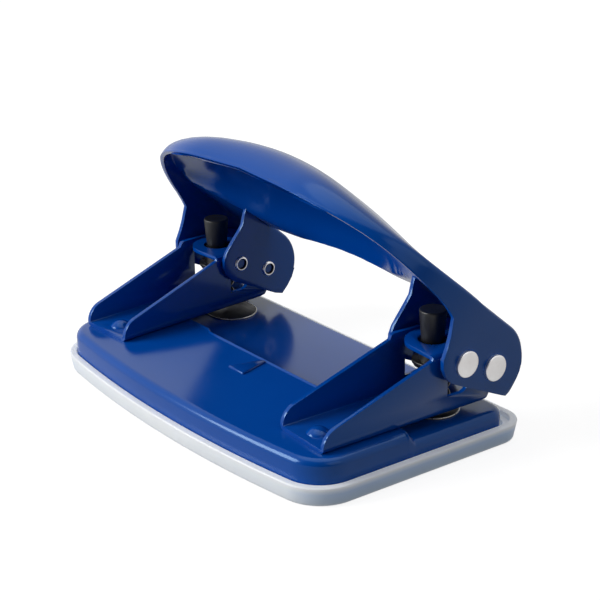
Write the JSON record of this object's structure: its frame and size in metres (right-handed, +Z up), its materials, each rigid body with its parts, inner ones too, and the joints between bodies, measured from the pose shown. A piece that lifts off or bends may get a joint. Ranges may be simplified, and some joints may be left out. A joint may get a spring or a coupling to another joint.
{
  "type": "two-hole paper punch",
  "caption": "Desk paper punch: a long hinged lever over riveted brackets drives sprung punch pins through a pressed base with a chip tray clipped under it.",
  "frame": {"origin": "middle of the chip tray's flat bottom face, on the table", "axes": "+X from the left hole to the right hole, +Y towards the edge where paper goes in, +Z up"},
  "size_m": [0.1056, 0.0629, 0.0612],
  "materials": {
    "blue_paint": "glossy royal blue enamel",
    "steel": "ground bright",
    "spring_steel": "drawn wire",
    "nickel": "nickel plated, satin",
    "black_plastic": "moulded, slight sheen",
    "tray_plastic": "milky translucent, satin"
  },
  "bodies": {
    "tray": {"chip_tray": "tray_plastic"},
    "punch": {"base_plate": "blue_paint", "die_plate_left": "steel", "die_plate_right": "steel", "bracket_left": "blue_paint", "bracket_right": "blue_paint", "base_rivet_left": "blue_paint", "base_rivet_right": "blue_paint", "return_spring_left": "spring_steel", "return_spring_right": "spring_steel"},
    "lever": {"lever": "blue_paint", "pivot_rivet_left": "nickel", "pivot_rivet_right": "nickel", "drive_rivet_left": "nickel", "drive_rivet_right": "nickel"},
    "pin_left": {"punch_pin_left": "steel", "pin_cap_left": "black_plastic", "spring_washer_left": "steel"},
    "pin_right": {"punch_pin_right": "steel", "pin_cap_right": "black_plastic", "spring_washer_right": "steel"}
  },
  "joints": [
    {"name": "tray_release", "type": "slide", "parent": "tray", "child": "punch", "axis": [0, 0, 1], "range_m": [0, 0.03]},
    {"name": "lever_hinge", "type": "hinge", "parent": "punch", "child": "lever", "pos_m": [0, 0.0229, 0.0186], "axis": [1, 0, 0], "range_deg": [0, 38], "stiffness_Nm_per_rad": 0.1, "springref_deg": -28.65},
    {"name": "pin_slide_left", "type": "slide", "parent": "punch", "child": "pin_left", "axis": [0, 0, -1], "range_m": [0, 0.00595], "deforming": ["return_spring_left"]},
    {"name": "pin_slide_right", "type": "slide", "parent": "punch", "child": "pin_right", "axis": [0, 0, -1], "range_m": [0, 0.00595], "deforming": ["return_spring_right"]}
  ],
  "couplings": [
    {"joint": "pin_slide_left", "follows": "lever_hinge", "m_per_rad": 0.00894},
    {"joint": "pin_slide_right", "follows": "lever_hinge", "m_per_rad": 0.00894}
  ]
}
